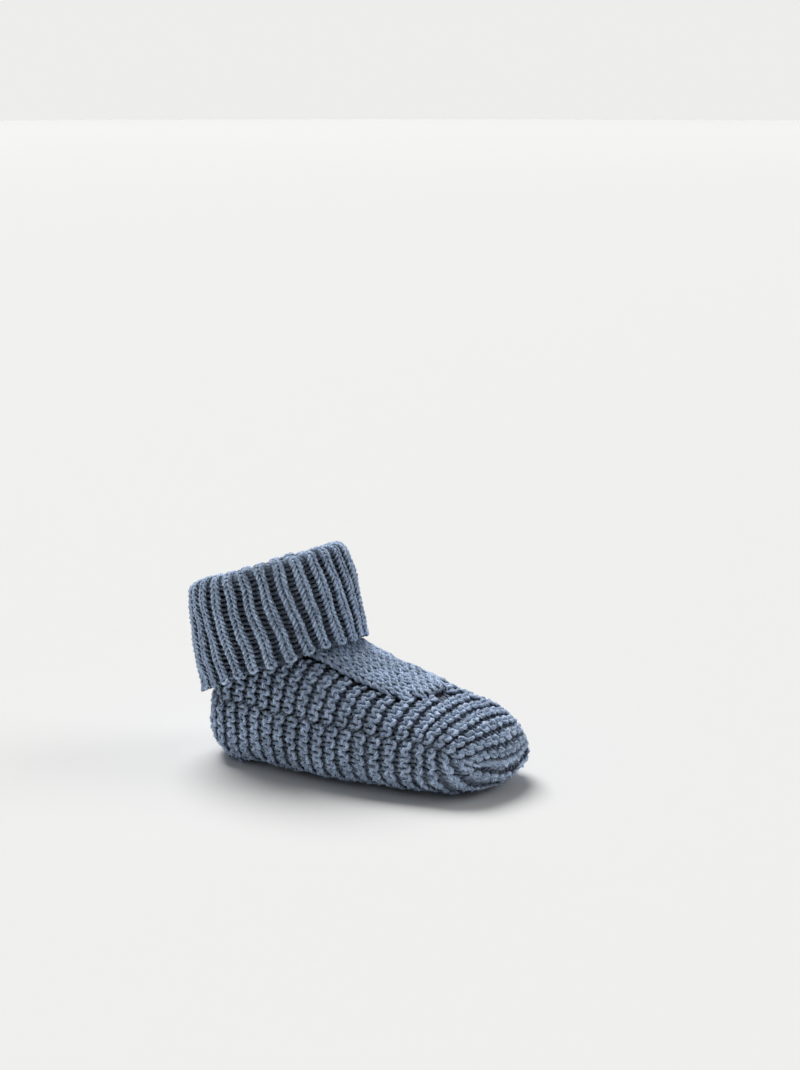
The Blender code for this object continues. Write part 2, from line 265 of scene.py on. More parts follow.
def even(rows, count):
    """Each row of points spaced evenly along its length."""
    result = np.empty((len(rows), count, 3))
    for k, row in enumerate(rows):
        reach = np.concatenate([[0], np.cumsum(np.linalg.norm(np.diff(row, axis=0), axis=1))])
        goal = np.linspace(0, reach[-1], count)
        for axis in range(3):
            result[k, :, axis] = np.interp(goal, reach, row[:, axis])
    return result


HEEL_ROWS, MIDDLE_ROWS, TOE_ROWS = 14, 27, 12
FOOT_END = MIDDLE_ROWS + TOE_ROWS
PER_ROW = 4                     # rows of points in a row of knitting
FOOT_RAYS = 301
FOOT_COLUMNS = 321


def foot_patch(down):
    """The upper's surface, or with down the sole's, as courses from the right join to the left one.

    v is 0 at the heel axis.
    """
    v = -HEEL_ROWS + np.arange((FOOT_END + HEEL_ROWS) * PER_ROW + 1)[:, None] / PER_ROW
    a = np.linspace(-QUARTER, QUARTER, FOOT_RAYS)[None, :]
    v, a = np.broadcast_arrays(v, a)
    in_heel = v < 0
    toe = np.clip((v - MIDDLE_ROWS) / TOE_ROWS, 0, 1.0)
    turn = np.where(in_heel, -v / HEEL_ROWS * QUARTER, 0.0)
    station = HEEL_AXIS + (TOE_START - HEEL_AXIS) * np.clip(v / MIDDLE_ROWS, 0, 1)
    station = np.where(v > MIDDLE_ROWS, along(JOIN_STATION, toe), station)
    lean = LAST_LEAN * toe
    if down:
        lean = math.pi - (math.pi - LAST_LEAN) * toe * toe
    height = along(JOIN_HEIGHT, station)
    side, ahead, rise = np.sin(a), np.cos(a) * np.sin(lean), np.cos(a) * np.cos(lean)

    def reach(x):
        return np.where(in_heel, plan_reach(turn), along(HALF_WIDTH, x))

    def is_inside(d):
        x = station + d * ahead
        return fullness(x, d * side, height + d * rise, reach(x)) < 1

    far = solve(is_inside, np.zeros_like(a), np.full_like(a, FOOT_SEARCH))
    r = far * side
    x = station + far * ahead - np.abs(r) * np.sin(turn)
    points = np.stack([x - CENTRE_X, r * np.cos(turn), np.maximum(0.0, height + far * rise)], -1)
    patch = Patch(-HEEL_ROWS, PER_ROW, even(points, FOOT_COLUMNS))
    patch.normals = outward(patch.points + TO_STATIONS)
    patch.points = patch.points - patch.normals * sunk(patch.points)[..., None]
    patch.grooved = True
    return patch


def loops(count, amplitude, width, row_sign, next_sign, depth, column_depth, closed, leg, flat):
    """One course: stitches along, metres up from the row's line and metres out from the fabric's middle.

    A sign is 1 for a knit stitch and -1 for a purl one. leg is the share of the depth at a loop's sides,
    and flat presses the loops' fronts level.
    """
    tau = np.linspace(0, count * 2 * math.pi, count * STEPS + 1)
    row_sign, next_sign = np.broadcast_to(row_sign, count), np.broadcast_to(next_sign, count)
    size = 1 + LOOP_VARIES * random.standard_normal(count)
    if closed:
        before = np.roll(np.arange(count), 1)
    else:
        before = np.maximum(np.arange(count) - 1, 0)
    keys = np.empty(4 * count + 1)
    sinkers = -depth * (row_sign + row_sign[before]) / 2 + column_depth * (row_sign + row_sign[before]) / 2
    keys[0:-1:4] = sinkers
    keys[1::4] = leg * depth * row_sign + column_depth * row_sign
    keys[2::4] = -depth * next_sign + column_depth * row_sign
    keys[3::4] = keys[1::4]
    keys[-1] = sinkers[0] if closed else keys[-5]
    place = tau / QUARTER
    k = np.minimum(place.astype(int), 4 * count - 1)
    mix = (1 - np.cos((place - k) * math.pi)) / 2
    out = keys[k] * (1 - mix) + keys[k + 1] * mix
    out = np.minimum(out + flat * depth, depth + column_depth)
    grown = np.concatenate([size, size[:1] if closed else size[-1:]])
    stitch = tau / (2 * math.pi)
    i = np.minimum(stitch.astype(int), count - 1)
    amplitude = amplitude * (grown[i] * (1 - (stitch - i)) + grown[i + 1] * (stitch - i))
    return stitch + width * np.sin(2 * tau), -amplitude * np.cos(tau), out


strands = {}                    # for each piece, its strands as lay() adds them


def lay(piece, points, normals, radius=YARN, closed=False, out=0.0, swing=0.0016):
    """Adds a strand. out is its height over the fabric's middle; the fabric's face is swing above that.
    These two set only its painted shade.
    """
    out = np.broadcast_to(out, len(points))
    strands.setdefault(piece, []).append((points, normals, radius, closed, out, swing))


def sway(points):
    """The points, moved a little as soft fabric settles. Neighbours move together."""
    moved = points.copy()
    for size, waves in SWAYS:
        for axis in range(3):
            a, b = points[:, (axis + 1) % 3], points[:, (axis + 2) % 3]
            moved[:, axis] += size * np.sin(waves * a + 1.7 * axis + 2 * np.sin(waves * 0.6 * b + axis))
    moved[:, 2] = np.maximum(moved[:, 2], LOWEST)
    return moved


def wander(count, size, smooth=12):
    """Smooth random offsets along a strand."""
    keys = random.standard_normal(count // smooth + 3) * size
    place = np.arange(count) / smooth
    k = place.astype(int)
    mix = (1 - np.cos((place - k) * math.pi)) / 2
    return keys[k] * (1 - mix) + keys[k + 1] * mix


def strip(piece, patch, v, to_f, count, amplitude, width, row_sign, next_sign, depth, inset, row_pitch,
          column_depth=0.0, closed=False, keep=None, radius=YARN, leg=1.0, flat=0.0):
    """Knits one course onto a patch."""
    u, up, out = loops(count, amplitude, width, row_sign, next_sign, depth, column_depth, closed, leg, flat)
    if not closed:
        out = out + wander(len(out), WANDER_OUT)
        up = up + wander(len(out), WANDER_UP)
    rows = v + up / row_pitch
    swing = depth + column_depth + radius
    points, normals = patch.at(rows, to_f(u, rows))
    points = points + normals * (out - inset)[:, None]
    # Yarn in a groove gets painted shade.
    if patch.grooved:
        out = out - GROOVE_SHADE * sunk(points)
    if keep is None:
        lay(piece, points, normals, radius, closed, out, swing)
        return
    run = np.flatnonzero(keep(points, rows))
    for part in np.split(run, np.flatnonzero(np.diff(run) > 1) + 1):
        if len(part) >= SHORTEST:
            lay(piece, points[part], normals[part], radius, False, out[part], swing)


def directions(points, normals, closed):
    """Two directions square to a strand at each of its points, the first one outward."""
    if closed:
        tangent = np.roll(points, -1, 0) - np.roll(points, 1, 0)
    else:
        tangent = np.gradient(points, axis=0)
    tangent /= np.linalg.norm(tangent, axis=1, keepdims=True) + 1e-12
    first = normals - (normals * tangent).sum(1, keepdims=True) * tangent
    first /= np.linalg.norm(first, axis=1, keepdims=True) + 1e-12
    return first, np.cross(tangent, first)


def twist(points, closed):
    """The length of yarn up to each point of a strand, and the turns its plies have made there."""
    reach = np.concatenate([[0], np.cumsum(np.linalg.norm(np.diff(points, axis=0), axis=1))])
    if not closed:
        return reach, reach / TWIST
    whole = reach[-1] + np.linalg.norm(points[0] - points[-1])
    return reach, reach / whole * max(1, round(whole / TWIST))


def tube_mesh(name, items, sides):
    """One mesh of plied strands with their ends closed."""
    all_points, all_faces, all_uv, all_painted_shade_heights, all_yarn = [], [], [], [], []
    segments = sum(len(item[0]) - (0 if item[3] else 1) for item in items)
    columns = max(1, math.ceil(math.sqrt(segments / sides)))
    per_column = math.ceil(segments / columns)
    k = np.arange(sides)
    after = (k + 1) % sides
    around = 2 * math.pi * k / sides
    lobe = np.where(k % (sides // PLIES) == 0, PLY_HIGH, PLY_LOW)[None, :]
    offset = 0
    done = 0
    for points, normals, radius, closed, out, swing in items:
        if closed:
            points, normals, out = points[:-1], normals[:-1], out[:-1]
        n = len(points)
        first, second = directions(points, normals, closed)
        reach, turns = twist(points, closed)
        angle = 2 * math.pi * (k[None, :] / sides + turns[:, None])
        thick = radius * (1 + YARN_VARIES * wander(n, 1.0, 9))[:, None]
        if not closed:
            thick[0] *= STRAND_END
            thick[-1] *= STRAND_END
        ring = points[:, None] + (thick * lobe)[..., None] * (
            np.cos(angle)[..., None] * first[:, None] + np.sin(angle)[..., None] * second[:, None])
        all_points.append(ring.reshape(-1, 3))
        # The height that sets the painted shade and highlight: the side of a strand that faces inward
        # counts as proud where the strand lies deep.
        facing = np.clip(0.8 + 3 * np.cos(angle), -1, 1)
        painted_shade_height = facing * (out[:, None] + thick * lobe * np.cos(angle)) / swing
        all_painted_shade_heights.append(painted_shade_height.ravel())
        yarn = np.empty((n, sides, 3))
        yarn[..., 0] = YARN * np.cos(around)
        yarn[..., 1] = YARN * np.sin(around)
        yarn[..., 2] = (random.uniform(0, FIBRE_START) + reach)[:, None]
        all_yarn.append(yarn.reshape(-1, 3))
        i = np.arange(n if closed else n - 1)
        here = offset + i[:, None] * sides
        ahead = offset + ((i + 1) % n)[:, None] * sides
        all_faces.append(np.stack([here + k, here + after, ahead + after, ahead + k], -1).reshape(-1, 4))
        column, row = divmod(done + i, per_column)
        u0 = (column[:, None] * sides + k) / (columns * sides)
        u1 = u0 + 1 / (columns * sides)
        v0 = np.broadcast_to((row / per_column)[:, None], u0.shape)
        v1 = v0 + 1 / per_column
        all_uv.append(np.stack([u0, v0, u1, v0, u1, v1, u0, v1], -1).reshape(-1, 2))
        done += len(i)
        if not closed:
            last = offset + (n - 1) * sides
            tip = np.full(sides, offset + n * sides)
            all_points.append(points[[0, -1]])
            all_painted_shade_heights.append(out[[0, -1]] / swing)
            all_yarn.append(np.zeros((2, 3)))
            all_faces.append(np.stack([offset + after, offset + k, tip, tip], -1))
            all_faces.append(np.stack([last + k, last + after, tip + 1, tip + 1], -1))
            all_uv.append(np.zeros((2 * sides * 4, 2)))
            offset += 2
        offset += n * sides
    points, faces, uv = np.concatenate(all_points), np.concatenate(all_faces), np.concatenate(all_uv)
    return filled_mesh(name, sway(points), faces, uv, np.concatenate(all_painted_shade_heights), np.concatenate(all_yarn))


def filled_mesh(name, points, faces, uv, painted_shade_height, yarn):
    """A mesh from rows of four corners; a row whose last two are the same is a triangle."""
    triangle = faces[:, 2] == faces[:, 3]
    keep = np.ones(faces.shape, bool)
    keep[triangle, 3] = False
    counts = np.where(triangle, 3, 4)
    mesh = bpy.data.meshes.new(name)
    mesh.vertices.add(len(points))
    mesh.vertices.foreach_set("co", points.astype(np.float32).ravel())
    mesh.loops.add(int(counts.sum()))
    mesh.loops.foreach_set("vertex_index", faces[keep].astype(np.int32))
    mesh.polygons.add(len(faces))
    starts = np.concatenate([[0], np.cumsum(counts)[:-1]])
    mesh.polygons.foreach_set("loop_start", starts.astype(np.int32))
    layer = mesh.uv_layers.new(name="OFBake")
    layer.data.foreach_set("uv", uv[keep.ravel()].astype(np.float32).ravel())
    height = mesh.attributes.new("painted_shade_height", "FLOAT", "POINT")
    height.data.foreach_set("value", painted_shade_height.astype(np.float32))
    along_yarn = mesh.attributes.new("yarn", "FLOAT_VECTOR", "POINT")
    along_yarn.data.foreach_set("vector", yarn.astype(np.float32).ravel())
    mesh.update(calc_edges=True)
    mesh.shade_smooth()
    return mesh


def wool(name, light, middle, dark):
    """Heathered wool: fibres of three blues along the yarn, with painted shade and highlight, and a soft
    sheen.
    """
    material = bpy.data.materials.new(name)
    material.use_nodes = True
    nodes, links = material.node_tree.nodes, material.node_tree.links
    shader = nodes["Principled BSDF"]
    shader.inputs["Roughness"].default_value = 0.92
    shader.inputs["Specular IOR Level"].default_value = 0.18
    shader.inputs["Sheen Weight"].default_value = 0.25
    shader.inputs["Sheen Roughness"].default_value = 0.55
    shader.inputs["Sheen Tint"].default_value = (0.72, 0.80, 0.95, 1.0)
    place = nodes.new("ShaderNodeTexCoord")
    yarn = nodes.new("ShaderNodeAttribute")
    yarn.attribute_name = "yarn"
    stretch = nodes.new("ShaderNodeMapping")
    stretch.inputs["Scale"].default_value = (1.0, 1.0, 0.22)
    links.new(yarn.outputs["Vector"], stretch.inputs["Vector"])

    def noise(scale, detail, rough, vector):
        node = nodes.new("ShaderNodeTexNoise")
        node.inputs["Scale"].default_value = scale
        node.inputs["Detail"].default_value = detail
        node.inputs["Roughness"].default_value = rough
        links.new(vector, node.inputs["Vector"])
        return node.outputs["Fac"]

    def spread(value, low, high, to_low, to_high):
        node = nodes.new("ShaderNodeMapRange")
        node.interpolation_type = "SMOOTHSTEP"
        node.inputs["From Min"].default_value = low
        node.inputs["From Max"].default_value = high
        node.inputs["To Min"].default_value = to_low
        node.inputs["To Max"].default_value = to_high
        links.new(value, node.inputs["Value"])
        return node.outputs["Result"]

    def scaled(colour, amount):
        node = nodes.new("ShaderNodeVectorMath")
        node.operation = "SCALE"
        links.new(colour, node.inputs[0])
        links.new(amount, node.inputs["Scale"])
        return node.outputs["Vector"]

    ramp = nodes.new("ShaderNodeValToRGB")
    ramp.color_ramp.elements[0].position = 0.36
    ramp.color_ramp.elements[0].color = (*dark, 1)
    ramp.color_ramp.elements[1].position = 0.64
    ramp.color_ramp.elements[1].color = (*light, 1)
    centre = ramp.color_ramp.elements.new(0.48)
    centre.color = (*middle, 1)
    links.new(noise(2300.0, 3.0, 0.7, stretch.outputs["Vector"]), ramp.inputs["Fac"])
    blotches = spread(noise(140.0, 2.0, 0.5, place.outputs["Object"]), 0.3, 0.7, 0.86, 1.12)
    heather = scaled(ramp.outputs["Color"], blotches)
    # Painted shade and highlight: the colour is darkened where the yarn lies deep in the fabric and
    # brightened where it stands proud.
    height = nodes.new("ShaderNodeAttribute")
    height.attribute_name = "painted_shade_height"
    shaded = scaled(heather, spread(height.outputs["Fac"], -0.35, 1.0, 0.05, 1.37))
    links.new(shaded, shader.inputs["Base Color"])
    relief = nodes.new("ShaderNodeBump")
    relief.inputs["Strength"].default_value = 0.4
    relief.inputs["Distance"].default_value = 0.0002
    links.new(noise(5200.0, 2.0, 0.6, stretch.outputs["Vector"]), relief.inputs["Height"])
    links.new(relief.outputs["Normal"], shader.inputs["Normal"])
    return material


CORE_STEP = 2                   # points of a patch in a face of a core
CORE_THICKNESS = 0.0003
CORE_DEPTH = 0.0009             # below the middle of the fabric
CUFF_CORE_DEPTH = 0.0010


def core(name, patch, inset, body, slot, rows, keep=None):
    """The body of a fabric, a thin layer between its front and back loops, near black as painted shade in
    the gaps between the strands.
    """
    v = np.arange(rows[0], rows[1] + 1e-6, CORE_STEP / patch.per_row)
    f = np.linspace(0, 1, (patch.points.shape[1] - 1) // CORE_STEP + 1)
    v, f = np.meshgrid(v, f, indexing="ij")
    points, normals = patch.at(v, f)
    points = points - normals * (inset(v)[..., None] if callable(inset) else inset)
    count = points.shape[1]
    index = np.arange(points.shape[0] * count).reshape(points.shape[:2])
    if patch.closed:
        index[:, -1] = index[:, 0]
    quads = np.stack([index[:-1, :-1], index[:-1, 1:], index[1:, 1:], index[1:, :-1]], -1)
    if keep is not None:
        inside = keep(points.reshape(-1, 3), v.ravel()).reshape(points.shape[:2])
        quads = quads[inside[:-1, :-1] & inside[:-1, 1:] & inside[1:, 1:] & inside[1:, :-1]]
    quads = quads.reshape(-1, 4)
    used = np.unique(quads)
    where = np.zeros(points.shape[0] * count, int)
    where[used] = np.arange(len(used))
    mesh = bpy.data.meshes.new(name)
    mesh.from_pydata(sway(points.reshape(-1, 3)[used]).tolist(), [], where[quads].tolist())
    mesh.shade_smooth()
    piece = add_piece(name, mesh, painted_shade_wool, body, slot)
    solid = piece.modifiers.new("Thickness", "SOLIDIFY")
    solid.thickness = CORE_THICKNESS
    solid.offset = 0.0


def add_piece(name, mesh, material, body, slot, *nodes):
    piece = bpy.data.objects.new(name, mesh)
    bpy.context.scene.collection.objects.link(piece)
    mesh.materials.append(material)
    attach(piece, body)
    if nodes:
        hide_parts(*nodes)
    return piece


# Knitting -------------------------------------------------------------------------------------------------

GARTER_DEPTH = 0.00105          # how far its loops go in and out
GARTER_INSET = GARTER_DEPTH + YARN
GARTER_REACH = 0.00225          # how far a loop reaches up and down from its row's line
GARTER_LEG = 0.30               # share of the depth at the sides of a loop
GARTER_SWELL = 0.17             # how much a loop widens at its top
EDGE = 0.0002                   # from a join to the first stitch
PAST_TIP = 0.0010               # from the tongue to the first course right across
PAST_ANKLE = 0.0012             # how far foot and leg overlap at the ankle
RIB_YARN = 0.00054
RIB_REACH = 0.00165
RIB_SWELL = 0.26
RIB_LOOP = 0.00068              # how far the loops of the rib go in and out
RIB_RELIEF = 0.00105            # how far its knit wales stand out and its purl wales sit back
RIB_INSET = RIB_LOOP + RIB_RELIEF + RIB_YARN
RIB_SPREAD = 0.26               # how much wider a knit wale is than an even one
RELIEF_AT_FOLD = 0.35           # share of the relief that is left where the rib is stretched over the fold
RELIEF_IN_LEG = 0.15            # what the leg and the turned-down cuff have on top of that
RELIEF_IN_CUFF = 0.65
FOLD_ROWS = 6                   # rows on each side of the fold over which the rib changes
CUFF_TWIST = 0.034              # share of a turn that the rib leans by between crest and hem
CUFF_END = 0.02                 # share of the cuff's height at which the rib ends
CUFF_LEAN = 1.3                 # how the lean grows downwards, as a power
LEG_INSET = 0.0009
HEM_LOOP = 0.0018               # how far the closing loop of a knit wale hangs down
HEM_START = 0.0007              # and how far up it starts
HEM_PURL_LOOP = 0.0010
HEM_PURL_START = 0.0004
TONGUE_WALES = 8
TONGUE_YARN = 0.00062
TONGUE_REACH = 0.0024
TONGUE_SWELL = 0.27
TONGUE_LOOP = 0.00075
TONGUE_FLAT = 0.6
TONGUE_PROUD = 0.0005           # how far the tongue stands over the foot's surface
TONGUE_INSET = TONGUE_LOOP + TONGUE_YARN - TONGUE_PROUD
TONGUE_SPREAD = 0.0003          # how far its loops reach past its outline
TONGUE_OVERLAP = 0.0004         # and how far the upper's loops reach under it
PILLOW_EDGE = 0.0030            # width over which the tongue's edge rounds off
PILLOW_DROP = 0.0011
UNDER_SHARE = 0.72              # share of the heel's reach where its underside goes flat
UNDER_OVERLAP = 0.06
UNDER_BACK = 0.0006
SOLE_TOE_COURSES = (0.05, 0.16, 0.26, 0.36, 0.47, 0.57, 0.67, 0.77, 0.88, 0.975)    # shares of the toe
SEAM_BOW = 0.0006               # how much deeper the ends of a seam's stitch lie
SEAM_SLANT = 1.1


def row_signs(j):
    return (1 if j % 2 == 0 else -1), (1 if (j + 1) % 2 == 0 else -1)


def tongue_half_width(x, spread=0.0):
    half, tip = TONGUE_HALF_WIDTH + spread, TONGUE_TIP + spread
    round_end = np.sqrt(np.clip(1 - ((x - TONGUE_ROUND_FROM) / (tip - TONGUE_ROUND_FROM)) ** 2, 0, 1))
    return half * np.where(x <= TONGUE_ROUND_FROM, 1.0, round_end)


def under_leg(points, _):
    """Whether points of the foot are below the leg, or just inside it."""
    return above_ankle(points + TO_STATIONS) < PAST_ANKLE


def in_upper(points, rows):
    """Whether points are on the garter upper: beside or in front of the tongue and under the leg."""
    x, y = points[:, 0] + CENTRE_X, np.abs(points[:, 1])
    beside = (y > tongue_half_width(x, -TONGUE_OVERLAP)) | (rows < 0)
    return beside & under_leg(points, rows)


def on_wall(points, rows):
    """Whether points of the sole's heel courses are on its wall, not underneath."""
    ahead = np.minimum(points[:, 0] + CENTRE_X - HEEL_AXIS, 0) / HEEL_REACH
    return (rows > 0) | (np.hypot(ahead, points[:, 1] / along(HALF_WIDTH, HEEL_AXIS)) > UNDER_SHARE)


def on_tongue(points, rows):
    x, y = points[:, 0] + CENTRE_X, np.abs(points[:, 1])
    return (y < tongue_half_width(x, TONGUE_SPREAD)) & under_leg(points, rows)


def garter(piece, patch, v, edge, signs, keep=None):
    """One garter course right across a patch, its stitches evenly spaced between margins of edge."""
    length = float(patch.length(float(v)))
    count = 2 * round((length - 2 * edge) / WALE / 2)
    pitch = (length - 2 * edge) / count
    strip(piece, patch, v, lambda u, rows: (edge + u * pitch) / length, count, GARTER_REACH, GARTER_SWELL,
          *signs, GARTER_DEPTH, GARTER_INSET, ROW, keep=keep, leg=GARTER_LEG)


def knit_upper(patch):
    """Courses beside the tongue are worked from each join; those in front of it run right over the toe."""
    tip_row = (TONGUE_TIP + PAST_TIP - HEEL_AXIS) / (TOE_START - HEEL_AXIS) * MIDDLE_ROWS
    first_full = math.ceil(tip_row + 0.2)
    whole = float(patch.length(float(first_full)))
    wale = whole / (2 * round(whole / WALE / 2))

    def from_right(u, rows):
        return (u * wale + EDGE) / patch.length(rows)

    def from_left(u, rows):
        return 1 - from_right(u, rows)

    for j in range(-HEEL_ROWS, first_full):
        count = int(patch.length(float(j)) / 2 / wale) + 1
        for to_f in (from_right, from_left):
            strip("upper", patch, j + 0.5, to_f, count, GARTER_REACH, GARTER_SWELL, *row_signs(j),
                  GARTER_DEPTH, GARTER_INSET, ROW, keep=in_upper, leg=GARTER_LEG)
    for j in range(first_full, FOOT_END):
        garter("toe", patch, j + 0.5, EDGE, row_signs(j))


def knit_sole(patch):
    for j in range(-HEEL_ROWS, MIDDLE_ROWS):
        name = "sole_heel" if j < 0 else "sole_middle"
        garter(name, patch, j + 0.5, EDGE, row_signs(j + 1), on_wall if j < 0 else None)
    for k, share in enumerate(SOLE_TOE_COURSES):
        garter("sole_toe", patch, MIDDLE_ROWS + TOE_ROWS * share, EDGE, row_signs(MIDDLE_ROWS + k + 1))


def under_heel_patch():
    """The flat underside of the heel. v counts rows forward from the back."""
    back = HEEL_AXIS - UNDER_SHARE * HEEL_REACH - UNDER_BACK
    wide = UNDER_SHARE + UNDER_OVERLAP
    rows = round((HEEL_AXIS - back) / ROW)
    x = np.linspace(back, HEEL_AXIS, rows * PER_ROW + 1)[:, None]
    span = np.sqrt(np.clip(1 - ((HEEL_AXIS - x) / HEEL_REACH / wide) ** 2, 0.05, 1))
    y = np.linspace(-1, 1, 81)[None, :] * span * along(HALF_WIDTH, HEEL_AXIS) * wide
    x = np.broadcast_to(x, y.shape)
    return Patch(0, PER_ROW, np.stack([x - CENTRE_X, y, 0 * y], -1), flip=True), rows


def rib_share(u, drop):
    """Where stitch u of the rib lies. Knit wales are broad, purl wales narrow, and all lean downwards."""
    lean = CUFF_TWIST * np.maximum(drop, 0) ** CUFF_LEAN
    return (u - RIB_SPREAD / math.pi * np.cos(math.pi * u)) / RIB_WALES + lean


def leg_inset(below):
    """Depth of the middle of the rib: the leg is drawn in below the fold, clear of the turned-down cuff."""
    return LEG_INSET + (RIB_INSET - LEG_INSET) * fade(below, FOLD_ROWS)


def knit_cuff(patch, crest_row, rows):
    """One piece of rib: up the inside of the leg, over the fold and down to the hem."""
    signs = np.where(np.arange(RIB_WALES) % 2 == 0, 1, -1)

    def to_share(u, v):
        return rib_share(u, (v - crest_row) / (rows - crest_row))

    for j in range(rows):
        v = j + 0.5
        name = "turnover" if j < (rows + crest_row) / 2 else "turnover_low"
        more_relief = RELIEF_IN_CUFF
        if v < crest_row:
            name = "leg"
            more_relief = RELIEF_IN_LEG
        from_crest = min(1.0, abs(v - crest_row) / FOLD_ROWS)
        relief = RIB_RELIEF * (RELIEF_AT_FOLD + more_relief * from_crest)
        strip(name, patch, v, to_share, RIB_WALES, RIB_REACH, RIB_SWELL, signs, signs, RIB_LOOP,
              leg_inset(crest_row - v), RIB_ROW, column_depth=relief, closed=True, radius=RIB_YARN)


def knit_tongue(patch, rows):
    def to_f(u, v):
        return 0.5 + (u - TONGUE_WALES / 2) * TONGUE_WALE / patch.length(v)

    for j in range(rows):
        strip("tongue", patch, j + 0.5, to_f, TONGUE_WALES, TONGUE_REACH, TONGUE_SWELL, 1, 1, TONGUE_LOOP,
              TONGUE_INSET, TONGUE_ROW, keep=on_tongue, radius=TONGUE_YARN, flat=TONGUE_FLAT)


def cast_off(patch, row):
    """The bound-off hem: a round loop closes each wale, and a chain of two yarns runs through them."""
    t = np.linspace(0, 1, 15)
    round_loop = np.sin(math.pi * t)
    for i in range(RIB_WALES):
        knit = i % 2 == 0
        u = i + 0.06 + 0.88 * t
        if knit:
            down = HEM_LOOP * round_loop ** 0.8 - HEM_START
            out = RIB_RELIEF + RIB_LOOP + 0.0003 * round_loop
        else:
            down = HEM_PURL_LOOP * round_loop - HEM_PURL_START
            out = 0 * t - 0.0004
        points, normals = patch.at(row + down / RIB_ROW, rib_share(u, 1.0))
        points = points + normals * (out - RIB_INSET)[:, None]
        lay("hem", points, normals, RIB_YARN, False, out, RIB_INSET)
    u = np.linspace(0, RIB_WALES, RIB_WALES * 12 + 1)
    for phase in (0.0, math.pi):
        rib = np.sin(math.pi * u)
        down = 0.0002 + 0.0005 * rib + 0.0004 * np.sin(2 * math.pi * u + phase)
        out = 0.0001 + 0.0008 * rib + 0.0003 * np.cos(2 * math.pi * u + phase)
        points, normals = patch.at(row + down / RIB_ROW, rib_share(u, 1.0))
        points = points + normals * (out - RIB_INSET)[:, None]
        lay("hem", points, normals, RIB_YARN * 0.9, True, out, RIB_INSET)


def seam(piece, points, normals, pitch, half, depth, radius=0.00050, out=0.0002):
    """Short strands across a line, as a seam shows from outside. out sets only their painted shade; depth
    sets where they lie.
    """
    reach = np.concatenate([[0], np.cumsum(np.linalg.norm(np.diff(points, axis=0), axis=1))])
    count = int(reach[-1] / pitch)
    tangents = np.gradient(points, axis=0)
    tangents /= np.linalg.norm(tangents, axis=1, keepdims=True) + 1e-12
    t = np.linspace(-1, 1, 11)
    for k in range(count):
        place = (k + 0.5) * pitch + SEAM_PITCH_VARIES * pitch * random.standard_normal()
        centre, run, up = (np.array([np.interp(place, reach, grid[:, axis]) for axis in range(3)])
                           for grid in (points, tangents, normals))
        across = np.cross(up, run)
        path = centre + run * (SEAM_SLANT * pitch / 2 * t)[:, None] + across * (half * t)[:, None]
        path = path - up * (depth + SEAM_BOW * t * t)[:, None]
        thick = radius * (1 + SEAM_YARN_VARIES * random.standard_normal())
        lay(piece, path, np.repeat(up[None], len(t), 0), thick, out=out)


def join_line(patch, share):
    """Points and normals along the join between sole and upper, up to the toe's seam."""
    v = np.linspace(-HEEL_ROWS, FOOT_END - 4, 240)
    return patch.at(v, np.full_like(v, share))


def cuff_patch():
    """The rib as one surface. v counts rows from the ankle up the inside, over the fold and down."""
    columns, straight, bend = 337, 60, 41
    angle = np.linspace(-math.pi, math.pi, columns)
    start = ANKLE + PAST_ANKLE / CUFF_HEIGHT
    fold = 1 - FOLD_RISE / CUFF_HEIGHT
    profile = [(share, 2 * FOLD_MIDDLE) for share in np.linspace(start, fold, straight)]
    for turn in np.linspace(0, math.pi, bend)[1:-1]:
        share = 1 - FOLD_RISE / CUFF_HEIGHT * (1 - math.sin(turn))
        profile.append((share, FOLD_MIDDLE * (1 + math.cos(turn))))
    profile += [(share, 0.0) for share in np.linspace(fold, CUFF_END, straight)]
    profile = np.array(profile)
    steps = np.hypot(np.diff(profile[:, 0]) * CUFF_HEIGHT, np.diff(profile[:, 1]))
    reach = np.concatenate([[0], np.cumsum(steps)])
    count = round(reach[-1] / RIB_ROW) * PER_ROW + 1
    goal = np.linspace(0, reach[-1], count)
    share, inset = np.interp(goal, reach, profile[:, 0]), np.interp(goal, reach, profile[:, 1])
    crest = reach[straight + bend // 2 - 1] / RIB_ROW
    grid = np.empty((count, columns, 3))
    for k in range(count):
        point = leg_point if inset[k] > FOLD_MIDDLE else cuff_point
        grid[k] = point(np.full_like(angle, share[k]), angle, inset[k])
    grid[..., 0] -= CENTRE_X
    return Patch(0, PER_ROW, even(grid, columns), closed=True), crest, (count - 1) // PER_ROW


def tongue_patch():
    first, last, half_width, columns = 0.0400, 0.0830, 0.0150, 121
    count = round((last - first) / TONGUE_ROW)
    x = np.linspace(first, last, count * PER_ROW + 1)[:, None]
    y = np.linspace(-half_width, half_width, columns)[None, :]
    x, y = np.broadcast_arrays(x, y)
    waist, top = along(WAIST, x), along(TOP, x)
    z = waist + (top - waist) * (1 - (np.abs(y) / along(HALF_WIDTH, x)) ** ROUND_TOP) ** (1 / ROUND_TOP)
    edge = np.clip(1 - (tongue_half_width(x) - np.abs(y)) / PILLOW_EDGE, 0, 1.3)
    z = z - PILLOW_DROP * edge ** 2
    return Patch(0, PER_ROW, even(np.stack([x - CENTRE_X, y, z], -1), columns)), count


